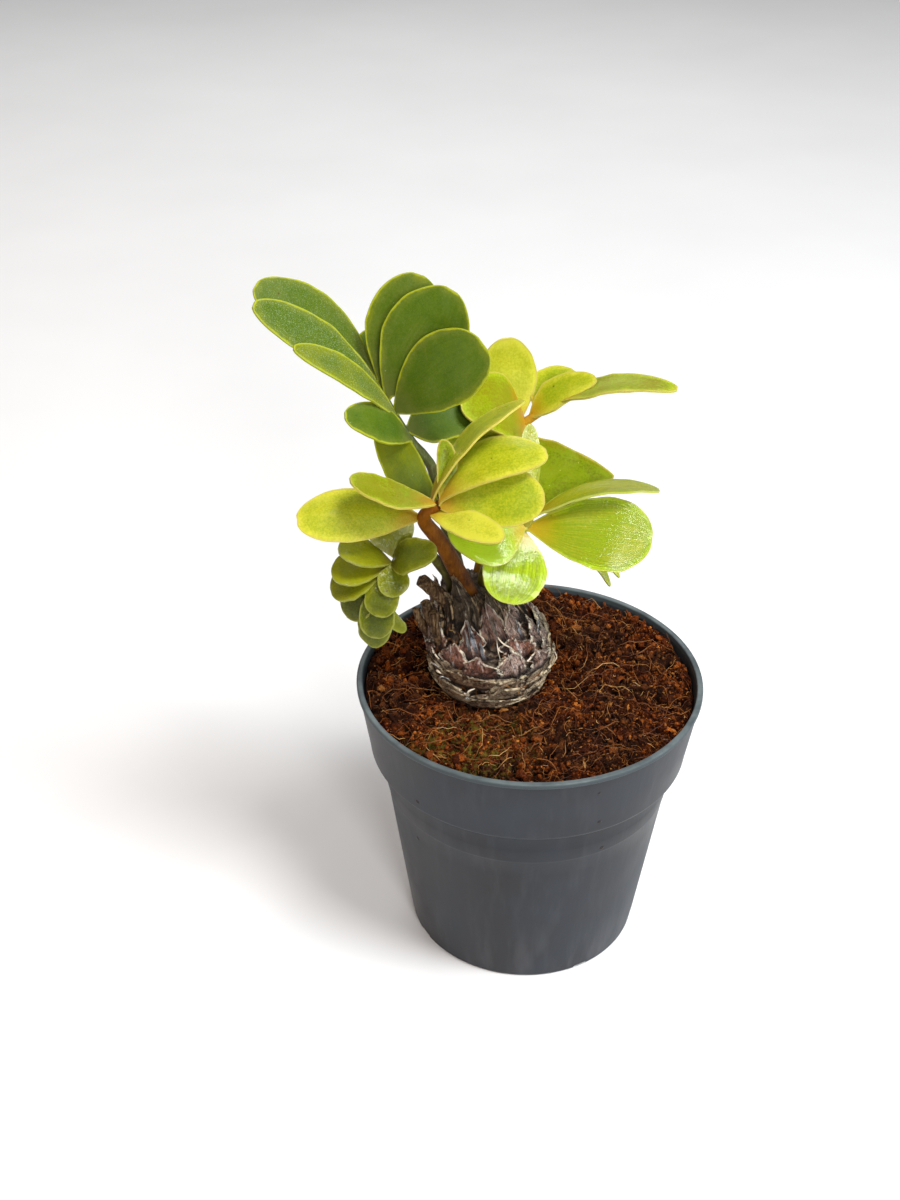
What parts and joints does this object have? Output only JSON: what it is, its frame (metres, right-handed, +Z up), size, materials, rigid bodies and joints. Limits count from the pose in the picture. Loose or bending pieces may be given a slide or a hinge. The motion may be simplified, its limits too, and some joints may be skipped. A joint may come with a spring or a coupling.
{
  "type": "potted cardboard palm",
  "caption": "Young cardboard palm: leathery leaflets on short stalks rise from a scaly swollen stem set in coir, in a tapered round plastic nursery pot that stands on its foot.",
  "frame": {"origin": "centre of the pot's foot, on the surface that it stands on", "axes": "+Z up, -Y towards the viewer of the plant's best side, +X to that viewer's right"},
  "size_m": [0.1299, 0.105, 0.2154],
  "materials": {
    "pot_plastic": "satin",
    "coir_fibre": "matte",
    "caudex_bark": "matte",
    "leaf_dark": "satin",
    "leaf_lime": "satin",
    "leaf_olive": "satin",
    "leaf_bright": "gloss",
    "leaf_young": "satin"
  },
  "bodies": {
    "root": {"pot": "pot_plastic", "coir": "coir_fibre", "caudex": "caudex_bark", "frond_upright": "leaf_dark", "frond_front": "leaf_lime", "frond_drooping": "leaf_olive", "frond_right": "leaf_bright", "frond_back": "leaf_young"}
  },
  "joints": []
}
